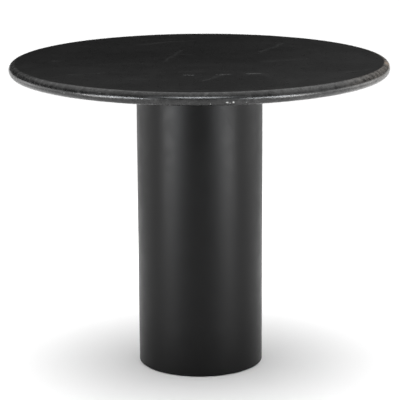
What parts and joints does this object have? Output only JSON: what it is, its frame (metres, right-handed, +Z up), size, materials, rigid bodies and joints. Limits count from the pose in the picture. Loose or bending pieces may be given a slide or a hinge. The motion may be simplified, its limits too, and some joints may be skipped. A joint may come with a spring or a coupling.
{
  "type": "round pedestal table",
  "caption": "Round dining table with a rounded-edge dark marble top on a wide drum pedestal of coated sheet steel, weighted at the foot, with screw-adjusted levelling feet.",
  "frame": {"origin": "on the floor, at the middle of the column", "axes": "+Z up along the column's axis; the table is round, so X and Y are free"},
  "size_m": [0.914, 0.9136, 0.75],
  "materials": {
    "marble": "honed",
    "black_powder_coat": "satin",
    "cast_weight": "rough",
    "zinc_plate": "satin",
    "insert_brass": "machined",
    "clear_silicone": "matte",
    "sole_rubber": "matte"
  },
  "bodies": {
    "pedestal": {"marble_top": "marble", "threaded_inserts": "insert_brass", "cushion_pads": "clear_silicone", "mounting_plate": "black_powder_coat", "column_shell": "black_powder_coat", "base_plate": "black_powder_coat", "weld_nuts": "zinc_plate", "ballast_weight": "cast_weight", "top_washers": "zinc_plate", "top_lock_washers": "zinc_plate", "top_bolts": "zinc_plate", "ballast_washers": "zinc_plate", "ballast_bolts": "zinc_plate", "ballast_nuts": "zinc_plate"},
    "foot_1": {"foot_pad_1": "zinc_plate", "foot_sole_1": "sole_rubber"},
    "screw_1": {"foot_stud_1": "zinc_plate"},
    "foot_2": {"foot_pad_2": "zinc_plate", "foot_sole_2": "sole_rubber"},
    "screw_2": {"foot_stud_2": "zinc_plate"},
    "foot_3": {"foot_pad_3": "zinc_plate", "foot_sole_3": "sole_rubber"},
    "screw_3": {"foot_stud_3": "zinc_plate"},
    "foot_4": {"foot_pad_4": "zinc_plate", "foot_sole_4": "sole_rubber"},
    "screw_4": {"foot_stud_4": "zinc_plate"}
  },
  "joints": [
    {"name": "foot_1_height", "type": "slide", "parent": "pedestal", "child": "foot_1", "axis": [0, 0, -1], "range_m": [0, 0.01]},
    {"name": "foot_1_screw", "type": "hinge", "parent": "foot_1", "child": "screw_1", "pos_m": [0.1175, 0, 0.019], "axis": [0, 0, -1], "range_deg": [0, 2400]},
    {"name": "foot_2_height", "type": "slide", "parent": "pedestal", "child": "foot_2", "axis": [0, 0, -1], "range_m": [0, 0.01]},
    {"name": "foot_2_screw", "type": "hinge", "parent": "foot_2", "child": "screw_2", "pos_m": [0, 0.1175, 0.019], "axis": [0, 0, -1], "range_deg": [0, 2400]},
    {"name": "foot_3_height", "type": "slide", "parent": "pedestal", "child": "foot_3", "axis": [0, 0, -1], "range_m": [0, 0.01]},
    {"name": "foot_3_screw", "type": "hinge", "parent": "foot_3", "child": "screw_3", "pos_m": [-0.1175, 0, 0.019], "axis": [0, 0, -1], "range_deg": [0, 2400]},
    {"name": "foot_4_height", "type": "slide", "parent": "pedestal", "child": "foot_4", "axis": [0, 0, -1], "range_m": [0, 0.01]},
    {"name": "foot_4_screw", "type": "hinge", "parent": "foot_4", "child": "screw_4", "pos_m": [0, -0.1175, 0.019], "axis": [0, 0, -1], "range_deg": [0, 2400]}
  ],
  "couplings": [
    {"joint": "foot_1_screw", "follows": "foot_1_height", "rad_per_m": 4188.8},
    {"joint": "foot_2_screw", "follows": "foot_2_height", "rad_per_m": 4188.8},
    {"joint": "foot_3_screw", "follows": "foot_3_height", "rad_per_m": 4188.8},
    {"joint": "foot_4_screw", "follows": "foot_4_height", "rad_per_m": 4188.8}
  ]
}
